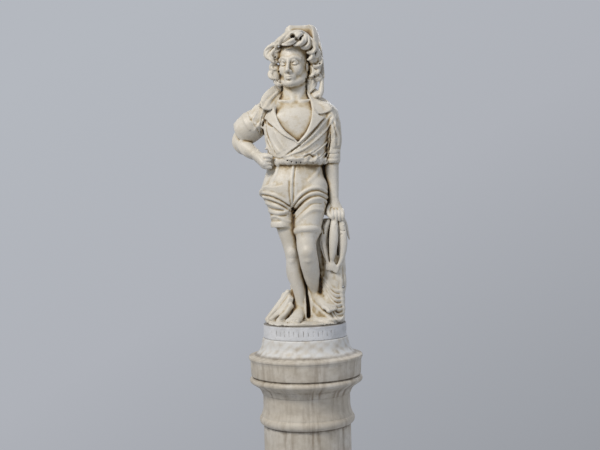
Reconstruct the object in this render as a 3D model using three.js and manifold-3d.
// A marble fisher boy on a turned marble pedestal, in millimetres, +Z up, front towards -Y.
// The origin is the centre of the pedestal's underside.
import * as THREE from "three";
import { mergeVertices } from "three/addons/utils/BufferGeometryUtils.js";
import Module from "manifold-3d";

// ---------- driving dimensions ----------
const PEDESTAL_HEIGHT = 900; // floor to the top of the cap
const JOINT_GAP = 0.3; // the bed between two stacked stones
const TURNED_SIDES = 28; // facets round a turned stone
const SHAFT_RADIUS = 121.5;
const CAP_RADIUS = 159; // at the lip under the sweep
const CAP_DEPTH = 155; // cap, from its top to the bed on the shaft
const PLINTH_RADIUS = 116; // the white disc with the title
const PLINTH_HEIGHT = 38;
const FOOT_SIDE = 344; // the square block on the floor
const FOOT_HEIGHT = 62;
const BASE_HEIGHT = 150; // block and mouldings, up to the bed under the shaft
const SHORTEST_EDGE = 3; // narrower facets, where the forms of the figure run together, are drawn together
const GROUND_RADIUS = 109; // the rocky ground under the boy
const GROUND_TOP = 46; // above the pedestal's top, as every height of the figure is

const wasm = await Module();
wasm.setup();

// ---------- solids ----------
const vec = (x, y, z) => new THREE.Vector3(x, y, z);

// A three.js geometry as a manifold-3d solid with its faces pointing out.
function solid(geometry) {
  const bare = geometry.clone();
  for (const name of Object.keys(bare.attributes)) if (name !== "position") bare.deleteAttribute(name);
  const merged = mergeVertices(bare, 1e-4);
  const make = (triVerts) =>
    new wasm.Manifold(new wasm.Mesh({ numProp: 3, vertProperties: merged.attributes.position.array, triVerts }));
  const faces = new Uint32Array(merged.index.array);
  const made = make(faces);
  if (made.volume() > 0) return made;
  for (let i = 0; i < faces.length; i += 3) [faces[i], faces[i + 1]] = [faces[i + 1], faces[i]];
  return make(faces);
}

const join = (solids) => solids.reduce((whole, piece) => whole.add(piece));

// The largest body of a solid, so that a pocket sealed between two joined forms is filled.
const outerBody = (whole) => whole.decompose().reduce((a, b) => (b.volume() > a.volume() ? b : a));

// Draws together the ends of every edge shorter than the limit, wherever the skin stays closed and unfolded.
// It clears the slivers that are left where two forms were joined.
function drawTogether({ vertProperties, triVerts }, limit) {
  const points = Array.from({ length: vertProperties.length / 3 }, (_, i) => vec(0, 0, 0).fromArray(vertProperties, 3 * i));
  const faces = Array.from({ length: triVerts.length / 3 }, (_, i) => Array.from(triVerts.slice(3 * i, 3 * i + 3)));
  const around = points.map(() => new Set());
  faces.forEach((face, f) => face.forEach((v) => around[v].add(f)));
  const ring = (v) => new Set([...around[v]].flatMap((f) => faces[f]).filter((w) => w !== v));
  const normal = (corners) => new THREE.Triangle(...corners).getNormal(vec(0, 0, 0));
  const staysFlat = (v, gone, target) =>
    [...around[v]].filter((f) => !faces[f].includes(gone)).every((f) => {
      const moved = faces[f].map((w) => (w === v ? target : points[w]));
      return normal(moved).dot(normal(faces[f].map((w) => points[w]))) > 0.7;
    });
  const tryEdge = (a, b) => {
    const shared = [...ring(a)].filter((w) => ring(b).has(w));
    const keptPoint = around[a].size >= around[b].size ? points[a] : points[b];
    if (shared.length !== 2 || !staysFlat(a, b, keptPoint) || !staysFlat(b, a, keptPoint)) return false;
    points[a] = keptPoint;
    for (const f of [...around[b]]) {
      const closes = faces[f].includes(a);
      if (closes) faces[f].forEach((v) => around[v].delete(f));
      else faces[f] = faces[f].map((v) => (v === b ? a : v));
      if (!closes) around[a].add(f);
      if (closes) faces[f] = null;
    }
    around[b].clear();
    return true;
  };
  for (const reach of [limit / 4, limit / 2, limit]) {
    for (let f = 0; f < faces.length; f += 1) {
      const edges = faces[f] ? [0, 1, 2].map((k) => [faces[f][k], faces[f][(k + 1) % 3]]) : [];
      edges.filter(([a, b]) => points[a].distanceTo(points[b]) < reach).some(([a, b]) => tryEdge(a, b));
    }
  }
  return { points, faces: faces.filter((face) => face) };
}

function toGeometry(whole, limit) {
  const { points, faces } = drawTogether(whole.getMesh(), limit);
  const geometry = new THREE.BufferGeometry().setFromPoints(points);
  geometry.setIndex(faces.flat());
  geometry.computeVertexNormals();
  return geometry;
}

// A closed skin over oval stations [x, y, z, half-width, half-depth], smooth between them.
// up sets which way the depth points. level keeps every oval horizontal. relief swells the skin by angle and place.
function sweep(stations, { sides = 8, steps = stations.length, up = [0, 1, 0], level = false, relief } = {}) {
  const path = new THREE.CatmullRomCurve3(stations.map(([x, y, z]) => vec(x, y, z)));
  const sizes = new THREE.CatmullRomCurve3(stations.map(([, , , a, b]) => vec(a, b, 0)));
  const geometry = new THREE.CylinderGeometry(1, 1, 1, sides, steps);
  const position = geometry.attributes.position;
  const point = vec(0, 0, 0);
  for (let i = 0; i < position.count; i += 1) {
    point.fromBufferAttribute(position, i);
    const along = 0.5 - point.y;
    const reach = Math.hypot(point.x, point.z);
    const angle = Math.atan2(point.z, point.x);
    const centre = path.getPoint(along);
    const size = sizes.getPoint(along);
    const tangent = path.getTangent(along);
    const side = level ? vec(1, 0, 0) : vec(...up).cross(tangent).normalize();
    const depth = level ? vec(0, 1, 0) : tangent.clone().cross(side);
    const swell = reach * (relief ? relief(angle, along) : 1);
    centre.addScaledVector(side, swell * size.x * Math.cos(angle));
    centre.addScaledVector(depth, swell * size.y * Math.sin(angle));
    position.setXYZ(i, centre.x, centre.y, centre.z);
  }
  return solid(geometry);
}

// An egg with its centre, three half-sizes and a turn about Z, X and Y in degrees.
function egg([x, y, z], [a, b, c], { turn = 0, pitch = 0, roll = 0, sides = 12, rings = 8 } = {}) {
  const geometry = new THREE.SphereGeometry(1, sides, rings).scale(a, b, c);
  const rad = THREE.MathUtils.degToRad;
  geometry.applyMatrix4(new THREE.Matrix4().makeRotationFromEuler(new THREE.Euler(rad(pitch), rad(roll), rad(turn), "ZXY")));
  return solid(geometry.translate(x, y, z));
}

// A solid turned about Z from [radius, height] points, from the bottom upwards.
function turned(profile, sides = TURNED_SIDES) {
  const [bottom, top] = [profile[0], profile[profile.length - 1]];
  const outline = [[0, bottom[1]], ...profile, [0, top[1]]].map(([r, z]) => new THREE.Vector2(r, z));
  return solid(new THREE.LatheGeometry(outline, sides).rotateX(Math.PI / 2));
}

// Points of a quarter or half round in a profile, from one angle to another in degrees.
function arc([r, z], [a, b], from, to, count) {
  return Array.from({ length: count + 1 }, (_, i) => {
    const turn = THREE.MathUtils.degToRad(from + ((to - from) * i) / count);
    return [r + a * Math.cos(turn), z + b * Math.sin(turn)];
  });
}

// ---------- the boy's trunk: level ovals [x, y, z, half-width, half-depth] ----------
const CHEST = [
  [-11, 3, 476, 68, 44], [-9, 0, 525, 75, 50], [-8, -3, 568, 83, 54], [-6, -2, 602, 88, 52],
  [-6, 3, 632, 84, 45], [-8, 7, 654, 62, 37], [-10, 9, 672, 40, 32], [-11, 8, 688, 31, 30],
];
const SHIRT = [
  [-12, 2, 474, 72, 49], [-10, 0, 484, 80, 57], [-10, 0, 504, 83, 61], [-9, -1, 535, 85, 62], [-8, -2, 568, 92, 62],
  [-6, -1, 602, 98, 59], [-6, 3, 632, 94, 52], [-7, 7, 654, 74, 44], [-9, 10, 672, 50, 38], [-10, 10, 686, 37, 34],
];
const HIPS = [
  [-17, 4, 490, 74, 48], [-18, 3, 462, 80, 53], [-21, 2, 438, 85, 58], [-22, 2, 414, 90, 61],
  [-20, 2, 392, 90, 60], [-17, 1, 372, 78, 55], [-15, 0, 356, 56, 44],
];

// The front of a trunk of level ovals at a place, as a height along -Y.
function frontOf(stations) {
  const curve = new THREE.CatmullRomCurve3(stations.map(([x, y, z]) => vec(x, y, z)));
  const sizes = new THREE.CatmullRomCurve3(stations.map(([, , , a, b]) => vec(a, b, 0)));
  const samples = Array.from({ length: 200 }, (_, i) => [curve.getPoint(i / 199), sizes.getPoint(i / 199)]);
  return (x, z) => {
    const [centre, size] = samples.reduce((a, b) => (Math.abs(b[0].z - z) < Math.abs(a[0].z - z) ? b : a));
    const across = Math.min(0.97, Math.abs(x - centre.x) / size.x);
    return centre.y - size.y * Math.sqrt(1 - across * across);
  };
}

const shirtFront = frontOf(SHIRT);
const hipFront = frontOf(HIPS);

// A cloth ridge or a lapel laid on a trunk: [x, z, half-width, half-thickness, how far it stands off].
function laid(front, places, options = {}) {
  const stations = places.map(([x, z, wide, thick, off = 0]) => [x, front(x, z) - off, z, wide, thick]);
  return sweep(stations, { sides: 4, ...options });
}

function trunk() {
  // the open neck, from the collar bones to the crossing of the lapels
  const opening = new THREE.Shape();
  opening.moveTo(-44, 720);
  opening.bezierCurveTo(-62, 650, -84, 600, -6, 536);
  opening.bezierCurveTo(34, 572, 44, 650, 20, 720);
  const cutter = new THREE.ExtrudeGeometry(opening, { depth: 110, bevelEnabled: false, curveSegments: 8 });
  cutter.rotateX(Math.PI / 2); // the outline stands upright and runs towards -Y
  const shirt = sweep(SHIRT, { sides: 16, level: true, steps: 8 }).subtract(solid(cutter));
  return [shirt, sweep(CHEST, { sides: 12, level: true, steps: 6 })];
}

function lapels() {
  return [
    laid(shirtFront, [[-86, 634, 10, 4, 0], [-80, 606, 17, 5, 2], [-58, 570, 19, 5, 4], [-30, 545, 15, 5, 4], [-12, 533, 4, 3, 3]]),
    laid(shirtFront, [[56, 618, 14, 5, 2], [44, 594, 16, 5, 4], [16, 562, 13, 5, 5], [-18, 532, 9, 5, 5], [-54, 503, 5, 4, 2]]),
    sweep([[2, 42, 694, 12, 8], [-34, 30, 698, 16, 6], [-62, -2, 676, 20, 6], [-82, -34, 645, 22, 6], [-86, -48, 628, 12, 4]]),
    sweep([[-12, 42, 694, 12, 8], [18, 30, 697, 13, 6], [40, 0, 678, 16, 6], [54, -32, 648, 19, 6], [62, -48, 622, 14, 4]]),
  ];
}

function shirtFolds() {
  return [
    [[98, 592, 5, 5], [78, 548, 7, 6], [44, 514, 7, 7], [4, 494, 6, 5]],
    [[80, 560, 4, 5], [58, 514, 5, 7], [38, 492, 4, 5]],
    [[60, 590, 4, 4], [34, 548, 6, 5], [-4, 516, 6, 5], [-40, 498, 4, 4]],
    [[-98, 600, 4, 4], [-90, 560, 6, 6], [-78, 528, 5, 5], [-62, 506, 4, 4]],
    [[-8, 500, 5, 5], [12, 488, 6, 7], [42, 484, 6, 7], [66, 482, 5, 5]],
  ].map((places) => laid(shirtFront, places));
}

// ---------- arms ----------
const RIGHT_ELBOW = [-170, 42, 560];
const RIGHT_WRIST = [-122, -12, 509];
const LEFT_WRIST = [91, -4, 372];

// His right arm, akimbo, out of a wide sleeve with a turned-up cuff.
function rightArm() {
  const sleeve = sweep([[-66, 6, 632, 34, 38], [-96, 8, 624, 36, 38], [-120, 13, 605, 38, 39], [-130, 17, 597, 38, 39]], {
    sides: 10, steps: 4,
  });
  const cuff = sweep([[-123, 14, 602, 40, 41], [-127, 16, 599, 43, 43], [-147, 26, 585, 43, 42], [-150, 28, 583, 40, 39]], {
    sides: 12, steps: 3,
  });
  const cuffHollow = sweep([[-136, 22, 593, 32, 32], [-160, 36, 577, 33, 33]], { sides: 8, steps: 1 });
  const arm = sweep(
    [
      [-116, 12, 608, 26, 27], [-148, 30, 582, 25, 26], [...RIGHT_ELBOW, 25, 25], [-162, 25, 541, 24, 25],
      [-142, 6, 524, 20, 21], [...RIGHT_WRIST, 15, 18], [-112, -24, 500, 15, 19],
    ],
    { sides: 8, steps: 9 },
  );
  const fist = sweep([[-124, -12, 508, 14, 15], [-112, -28, 497, 15, 20], [-99, -40, 481, 13, 21], [-91, -43, 472, 8, 13]], { steps: 4 });
  const fingers = sweep([[-112, -32, 508, 9, 9], [-90, -48, 504, 9, 9], [-70, -55, 502, 7, 7], [-60, -56, 502, 3, 3]], { sides: 6 });
  return [sleeve, cuff.subtract(cuffHollow), arm, fist, fingers];
}

// His left arm hangs from a rolled sleeve to the catch.
function leftArm() {
  const sleeve = sweep(
    [[62, 6, 652, 24, 36], [80, 5, 632, 27, 39], [87, 4, 600, 26, 37], [92, 4, 570, 24, 33], [94, 4, 546, 22, 32], [91, 3, 518, 20, 28]],
    { level: true, sides: 10, steps: 6 },
  );
  const cuff = sweep([[91, 3, 521, 19, 27], [90, 3, 516, 22, 30], [89, 3, 486, 22, 29], [89, 3, 480, 18, 25]], { level: true, sides: 10, steps: 3 });
  const arm = sweep([[90, 4, 510, 19, 20], [87, 5, 470, 20, 21], [89, 4, 425, 18, 18], [...LEFT_WRIST, 13, 14], [93, -8, 350, 15, 13]], { steps: 6 });
  const back = sweep([[92, -6, 370, 13, 12], [94, -11, 350, 21, 13], [96, -17, 334, 22, 13], [96, -18, 326, 17, 10]], { steps: 4 });
  // four fingers closing over the catch, and the thumb beside them
  const fingers = [0, 1, 2, 3].map((i) => {
    const x = 84 + 9 * i;
    return sweep([[x, -25, 344, 5, 6], [x + 1, -35, 334, 5, 6], [x + 1, -33, 319, 3, 3]], { sides: 4, steps: 2 });
  });
  const thumb = sweep([[80, -8, 362, 7, 8], [75, -20, 346, 7, 7], [78, -32, 330, 3, 4]], { sides: 4, steps: 2 });
  // the stone left standing between the arm and the hip
  const web = sweep([[68, 10, 500, 12, 8], [64, 12, 440, 12, 8], [70, 12, 390, 12, 8], [74, 12, 350, 14, 10]], { level: true, sides: 6, steps: 3 });
  return [sleeve, cuff, arm, back, web, ...fingers, thumb];
}

// ---------- shorts and legs ----------
function shorts() {
  const rightLeg = sweep(
    [[-64, 2, 416, 44, 55], [-62, 0, 380, 40, 50], [-58, -2, 345, 33, 43], [-56, -3, 322, 31, 39], [-55, -3, 309, 30, 38]],
    { level: true, sides: 11, steps: 4 },
  );
  const leftLeg = sweep(
    [[32, -2, 416, 44, 56], [27, -12, 368, 43, 52], [20, -24, 330, 41, 46], [16, -31, 303, 39, 43], [15, -34, 290, 37, 40]],
    { sides: 11, steps: 5 },
  );
  const fly = laid(hipFront, [[-22, 478, 3, 4], [-25, 440, 4, 4], [-27, 400, 4, 5], [-27, 372, 3, 4]]);
  return [sweep(HIPS, { level: true, sides: 14, steps: 6 }), rightLeg, leftLeg, fly];
}

// Creases from the crotch out to the hips, and the turned-up hems.
function shortsFolds() {
  const leftThigh = (x, z) => -16 - 48 * Math.sqrt(Math.max(0, 1 - ((x - 24) / 54) ** 2)) - (400 - z) * 0.22;
  const rightThigh = (x, z) => 2 - 50 * Math.sqrt(Math.max(0, 1 - ((x + 62) / 52) ** 2)) + (390 - z) * 0.1;
  const creases = [
    laid(rightThigh, [[-108, 408, 3, 3], [-84, 398, 5, 4], [-54, 382, 5, 5], [-31, 366, 3, 3]]),
    laid(rightThigh, [[-102, 392, 3, 3], [-76, 381, 5, 4], [-50, 366, 4, 4], [-32, 354, 3, 3]]),
    laid(rightThigh, [[-90, 352, 3, 3], [-66, 346, 5, 4], [-36, 352, 3, 3]]),
    laid(rightThigh, [[-86, 330, 3, 3], [-62, 336, 5, 3], [-36, 324, 3, 3]]),
    laid(leftThigh, [[-20, 370, 3, 3], [2, 396, 5, 5], [30, 409, 6, 5], [56, 406, 5, 4], [74, 394, 3, 3]]),
    laid(leftThigh, [[-18, 352, 3, 3], [6, 378, 5, 5], [34, 390, 5, 5], [66, 378, 3, 4]]),
  ];
  const hems = [
    sweep([[-56, -3, 320, 31, 40], [-56, -3, 317, 34, 43], [-55, -3, 309, 33, 42], [-55, -3, 306, 29, 37]], { level: true, sides: 10, steps: 3 }),
    sweep([[16, -29, 306, 37, 43], [16, -30, 303, 41, 46], [14, -34, 290, 40, 45], [13, -35, 287, 35, 39]], { sides: 10, steps: 3 }),
  ];
  return [...creases, ...hems];
}

const RIGHT_SHIN = [
  [-50, -2, 340, 30, 34], [-41, -3, 300, 30, 34], [-33, -4, 262, 24, 29], [-29, -7, 224, 19.5, 25], [-26, 0, 190, 21, 26],
  [-20, 3, 158, 20.5, 24], [-14, 5, 125, 17, 19], [-12, 6, 98, 14.5, 17], [-12, 7, 76, 15.5, 19], [-13, 6, 52, 16, 20],
];
const LEFT_SHIN = [
  [16, -27, 322, 32, 35], [12, -36, 286, 30, 33], [10, -45, 256, 28, 31], [13, -50, 230, 27, 28], [17, -38, 205, 27, 29],
  [21, -20, 180, 24, 27], [24, -6, 155, 20, 23], [29, 5, 130, 14.5, 17], [31, 9, 112, 14.5, 17],
];

// A bare foot from heel to ball with five toes. toesAt is the middle of their roots.
function foot(stations, toesAt, along, across, rise) {
  const toes = [0, 1, 2, 3, 4].map((i) => {
    const slide = 2 - i; // from the little toe to the big one
    const thick = i === 4 ? 6 : 4.4;
    const length = i === 4 ? 19 : 13 + i;
    const root = vec(...toesAt).addScaledVector(vec(...across), 9 * slide);
    const at = (share, lift) => root.clone().addScaledVector(vec(...along), length * share).add(vec(0, 0, lift)).toArray();
    return sweep([[...at(-0.5, rise), thick, thick], [...at(0.4, rise * 0.5), thick, thick], [...at(0.85, 0), thick, thick * 0.9], [...at(1, -1), 2, 2]],
      { sides: 4, steps: 2, up: [0, 0, 1] });
  });
  return [sweep(stations, { sides: 8, steps: 5, up: [0, 0, 1] }), ...toes];
}

function legs() {
  const rightFoot = foot(
    [[-4, 32, 57, 8, 7], [-7, 24, 60, 14, 14], [-13, 6, 65, 17, 19], [-20, -22, 60, 18, 15], [-28, -50, 54, 21, 9], [-31, -66, 51, 22, 6]],
    [-31, -66, 51], [-0.2, -0.98, 0], [-0.98, 0.2, 0], 1,
  );
  const leftFoot = foot(
    [[20, 32, 108, 7, 7], [26, 24, 108, 13, 14], [36, 6, 106, 15, 18], [50, -18, 98, 16, 14], [63, -40, 88, 18, 9], [70, -52, 83, 19, 6]],
    [70, -52, 83], [0.55, -0.8, -0.24], [0.82, 0.57, 0], 1,
  );
  return [
    sweep(RIGHT_SHIN, { sides: 9, steps: 9 }), ...rightFoot,
    sweep(LEFT_SHIN, { sides: 9, steps: 9 }), ...leftFoot,
  ];
}

// ---------- head ----------
const HEAD = [-13, -4, 766]; // the middle of the skull
const HEAD_TURN = -17; // degrees towards his right

// Moves a point of the head's own frame, x to his left and y to his back, into the figure's.
function ofHead([x, y, z]) {
  const turn = THREE.MathUtils.degToRad(HEAD_TURN);
  return [HEAD[0] + x * Math.cos(turn) - y * Math.sin(turn), HEAD[1] + x * Math.sin(turn) + y * Math.cos(turn), HEAD[2] + z];
}

function head() {
  const skull = [[0, -32, -70, 10, 8], [0, -27, -62, 22, 24], [0, -17, -45, 32, 36], [0, -9, -24, 38, 45], [0, -3, 0, 42, 51],
    [0, 0, 25, 44, 54], [0, 2, 46, 39, 47], [0, 3, 60, 26, 31], [0, 3, 66, 9, 11]];
  const neck = [[-9, 14, 636, 36, 34], [-11, 9, 664, 31, 31], [-13, 4, 690, 30, 31], [-13, 4, 722, 30, 31]];
  const inHead = (stations) => stations.map(([x, y, z, a, b]) => [...ofHead([x, y, z]), a, b]);
  const features = [
    sweep(inHead([[0, -52, 6, 4, 5], [0, -57, -10, 5, 6], [0, -62, -26, 7, 7], [0, -59, -33, 8, 5]]), { sides: 6, steps: 5, up: [0, 1, 0] }), // nose
    sweep(inHead([[-34, -36, 8, 4, 5], [-19, -48, 11, 5, 5], [-6, -51, 8, 4, 4]]), { sides: 6, up: [0, 0, 1] }), // brow
    sweep(inHead([[34, -36, 8, 4, 5], [19, -48, 11, 5, 5], [6, -51, 8, 4, 4]]), { sides: 6, up: [0, 0, 1] }), // brow
    sweep(inHead([[-13, -48, -47, 2, 2], [0, -54, -46, 5, 5], [13, -48, -47, 2, 2]]), { sides: 6, up: [0, 0, 1] }), // mouth
    egg(ofHead([0, -42, -63]), [13, 10, 9], { sides: 8, rings: 6 }), // chin
  ];
  return [sweep(inHead(skull), { level: true, sides: 12, steps: 8 }), sweep(neck, { sides: 8, steps: 3 }), ...features];
}

// Thick curls: each a bent horn from its root to its tip.
function hair() {
  const crown = egg(ofHead([0, 8, 24]), [49, 55, 52], { turn: HEAD_TURN, sides: 10, rings: 6 });
  const curls = [
    [[-6, -34, 62], [-14, -54, 58], [-24, -60, 44], [-38, -50, 36], 13], // fringe over his right brow
    [[-2, -36, 62], [6, -56, 58], [18, -58, 44], [34, -46, 36], 12], // fringe over his left brow
    [[-8, -30, 68], [-2, -54, 66], [-8, -66, 50], [2, -62, 38], 10], // forelock
    [[-36, -20, 44], [-50, -26, 34], [-60, -28, 18], [-56, -34, 2], 13],
    [[-44, -6, 20], [-62, -12, 12], [-66, -16, -2], [-56, -22, -12], 13],
    [[-44, 4, -4], [-60, -4, -14], [-62, -8, -30], [-50, -12, -42], 13],
    [[-36, 16, -30], [-50, 12, -42], [-46, 6, -56], [-34, 4, -62], 12],
    [[36, -22, 42], [48, -28, 30], [52, -30, 12], [44, -36, 0], 13],
    [[44, -6, 16], [58, -12, 4], [58, -18, -14], [48, -26, -22], 13],
    [[44, 6, -8], [58, 0, -22], [56, -8, -38], [44, -14, -44], 13],
    [[34, 22, -30], [48, 20, -46], [46, 12, -60], [34, 8, -64], 12],
    [[0, 50, 0], [-20, 62, -20], [-22, 58, -44], [-8, 50, -60], 15],
    [[10, 50, 0], [24, 60, -20], [24, 56, -44], [12, 46, -62], 15],
  ].map(([root, knee, bend, tip, thick]) => {
    const stations = [root, knee, bend, tip].map((p, i) => [...ofHead(p), thick * [0.8, 1, 0.85, 0.35][i], thick * [0.7, 0.85, 0.75, 0.35][i]]);
    return sweep(stations, { sides: 5, steps: 3 });
  });
  return [crown, ...curls];
}

// The knitted cap, pushed to the back of the head: a raised open rim, and a long end that drops to his left shoulder.
function cap() {
  const outside = sweep([[10, -6, 872, 30, 12], [10, 8, 866, 40, 34], [12, 20, 846, 49, 44], [14, 24, 818, 51, 48], [16, 26, 786, 50, 46], [14, 30, 758, 42, 36]], { level: true, sides: 12, steps: 5 });
  const scoop = egg([2, -34, 846], [40, 46, 26], { sides: 8, rings: 6, pitch: 18 });
  const tail = sweep([[44, 28, 846, 16, 16], [56, 24, 808, 15, 18], [62, 16, 768, 12, 15], [65, 6, 730, 9, 11], [66, -2, 700, 7, 8], [62, -6, 680, 9, 9], [60, -8, 664, 5, 5]], { sides: 6, steps: 7 });
  return [outside.subtract(scoop), tail];
}

// ---------- what he leans on ----------
function stump() {
  const bark = (angle, along) => 1 + 0.05 * Math.cos(5 * angle + 4 * along) + 0.03 * Math.cos(3 * angle - 7 * along);
  const behind = [
    [6, 34, GROUND_TOP - 4, 98, 58], [10, 36, 62, 92, 54], [24, 38, 88, 80, 47], [34, 38, 122, 74, 42],
    [38, 38, 158, 71, 39], [50, 37, 200, 61, 36], [64, 34, 250, 49, 33], [76, 30, 300, 37, 29], [82, 26, 326, 30, 24],
  ];
  const side = [
    [62, -2, GROUND_TOP - 2, 50, 54], [68, -2, 74, 44, 44], [78, 2, 112, 34, 34], [84, 4, 160, 31, 28],
    [86, 4, 220, 31, 25], [84, 4, 280, 30, 22], [84, 2, 324, 26, 18],
  ];
  // the rock that slopes down under his left foot
  const rock = [[22, 26, 82, 14, 20], [38, 2, 84, 16, 20], [56, -24, 72, 18, 18], [72, -48, 58, 16, 13]];
  return [
    sweep(behind, { level: true, sides: 12, steps: 7, relief: bark }),
    sweep(side, { level: true, sides: 10, steps: 5, relief: bark }),
    sweep(rock, { sides: 8, steps: 4, up: [0, 0, 1] }),
  ];
}

// The net drawn over the stump in hanging folds, and the catch held against it.
function netAndCatch() {
  const hanging = [
    [[74, -16, 318, 10, 9], [60, -18, 282, 10, 10], [56, -18, 232, 11, 10], [60, -20, 180, 10, 10]],
    [[104, -8, 322, 10, 10], [110, -10, 280, 11, 12], [110, -12, 220, 11, 12], [106, -14, 160, 11, 12], [104, -18, 90, 10, 12]],
  ];
  // swags across the front, each lower and wider than the last
  const swags = [0, 1, 2, 3].map((i) => {
    const drop = 22 * i;
    const spread = 3 * i;
    return [[50 - spread, -18, 170 - drop * 0.7, 5, 6], [66, -28 - spread, 142 - drop, 7, 7], [86, -30 - spread, 116 - drop, 7, 7], [106, -20, 104 - drop, 5, 6]];
  }).slice(0, 3);
  const fish = [
    [[90, -32, 322, 5, 5], [88, -36, 296, 11, 8], [84, -38, 256, 12, 9], [79, -34, 222, 7, 6], [78, -30, 196, 11, 5]],
    [[107, -28, 322, 5, 5], [111, -30, 292, 9, 7], [112, -30, 252, 10, 8], [107, -26, 216, 7, 6], [96, -24, 190, 9, 4]],
    [[72, -26, 316, 5, 5], [62, -28, 288, 8, 7], [58, -28, 252, 9, 8], [64, -26, 218, 6, 6], [70, -26, 196, 8, 4]],
    [[112, -18, 330, 5, 5], [120, -18, 306, 5, 6], [126, -18, 272, 3, 4]],
  ];
  return [...hanging, ...swags, ...fish].map((stations) => sweep(stations, { sides: 5, steps: stations.length }));
}

function ground() {
  // a ragged rocky disc: its edge swells and sinks as it goes round
  const ragged = (angle) => 1 + 0.022 * Math.sin(7 * angle + 1) + 0.02 * Math.sin(13 * angle) + 0.012 * Math.sin(23 * angle + 2);
  const bottom = PLINTH_HEIGHT + JOINT_GAP;
  const stations = [[1, 0, bottom, 104, 104], [1, 0, bottom + 3, GROUND_RADIUS, GROUND_RADIUS], [1, 0, GROUND_TOP, 105, 105], [1, 0, GROUND_TOP + 2, 96, 96]];
  return sweep(stations, { level: true, sides: 30, steps: 2, relief: ragged });
}

function fisherBoy() {
  const forms = [
    ground(), ...stump(), ...netAndCatch(), ...legs(), ...shorts(), ...shortsFolds(), ...trunk(), ...lapels(),
    ...shirtFolds(), ...rightArm(), ...leftArm(), ...head(), ...hair(), ...cap(),
  ];
  const floor = solid(new THREE.BoxGeometry(600, 600, 100).translate(0, 0, PLINTH_HEIGHT + JOINT_GAP - 50));
  return outerBody(join(forms).subtract(floor));
}

// ---------- the turned stones ----------
// The title band: shallow upright strokes in its place.
function plinth() {
  const disc = turned([[PLINTH_RADIUS, JOINT_GAP], [PLINTH_RADIUS, PLINTH_HEIGHT - 1], [PLINTH_RADIUS - 1, PLINTH_HEIGHT]]);
  const strokes = [];
  const [first, last, count] = [-42, 44, 14];
  for (let i = 0; i < count; i += 1) {
    const turn = THREE.MathUtils.degToRad(first + ((last - first) * i) / (count - 1));
    const stroke = new THREE.BoxGeometry(3, 2, 15).translate(0, -PLINTH_RADIUS, PLINTH_HEIGHT / 2);
    strokes.push(solid(stroke.rotateZ(turn)));
  }
  return disc.subtract(join(strokes));
}

function pedestalCap() {
  return turned([
    [124, -CAP_DEPTH + JOINT_GAP], [126, -148], [134, -137], [147, -128], ...arc([148, -117], [9.5, 8.5], -65, 65, 3),
    [149, -108], [149, -105], [152.5, -104], [155.5, -62], [CAP_RADIUS, -57], [CAP_RADIUS, -52],
    ...arc([CAP_RADIUS + 2, -14], [-39, 37], -75, -8, 4), [119, 0],
  ]);
}

function pedestalShaft() {
  const foot = BASE_HEIGHT - PEDESTAL_HEIGHT;
  return turned([
    [SHAFT_RADIUS, foot + JOINT_GAP], [SHAFT_RADIUS, -240], ...arc([123, -226], [10, 13], -75, 60, 4),
    [125, -208], [SHAFT_RADIUS, -192], [SHAFT_RADIUS, -CAP_DEPTH],
  ]);
}

function pedestalBase() {
  const block = solid(new THREE.BoxGeometry(FOOT_SIDE, FOOT_SIDE, FOOT_HEIGHT).translate(0, 0, FOOT_HEIGHT / 2));
  const round = turned([
    [150, FOOT_HEIGHT - 5], [150, FOOT_HEIGHT + 2], ...arc([147, FOOT_HEIGHT + 22], [17, 20], -75, 75, 4),
    [144, FOOT_HEIGHT + 42], [144, FOOT_HEIGHT + 48], [134, BASE_HEIGHT - 34], [127, BASE_HEIGHT - 16], [124, BASE_HEIGHT],
  ]);
  return block.add(round);
}

// ---------- the assembly ----------
const marble = (colour, roughness) => new THREE.MeshStandardMaterial({ color: colour, roughness, metalness: 0 });

function stone(name, whole, material, lift, limit = 0) {
  const mesh = new THREE.Mesh(toGeometry(whole, limit), material);
  mesh.name = name;
  mesh.position.z = lift;
  return mesh;
}

const statue = new THREE.Group();
const statuary = marble(0xddd2bd, 0.5);
const weathered = marble(0xcbc2b0, 0.6);
statue.add(
  stone("fisher_boy", fisherBoy(), statuary, PEDESTAL_HEIGHT, SHORTEST_EDGE),
  stone("title_plinth", plinth(), marble(0xe4e3e0, 0.45), PEDESTAL_HEIGHT),
  stone("pedestal_cap", pedestalCap(), weathered, PEDESTAL_HEIGHT),
  stone("pedestal_shaft", pedestalShaft(), weathered, PEDESTAL_HEIGHT),
  stone("pedestal_base", pedestalBase(), weathered, 0),
);

export default statue;
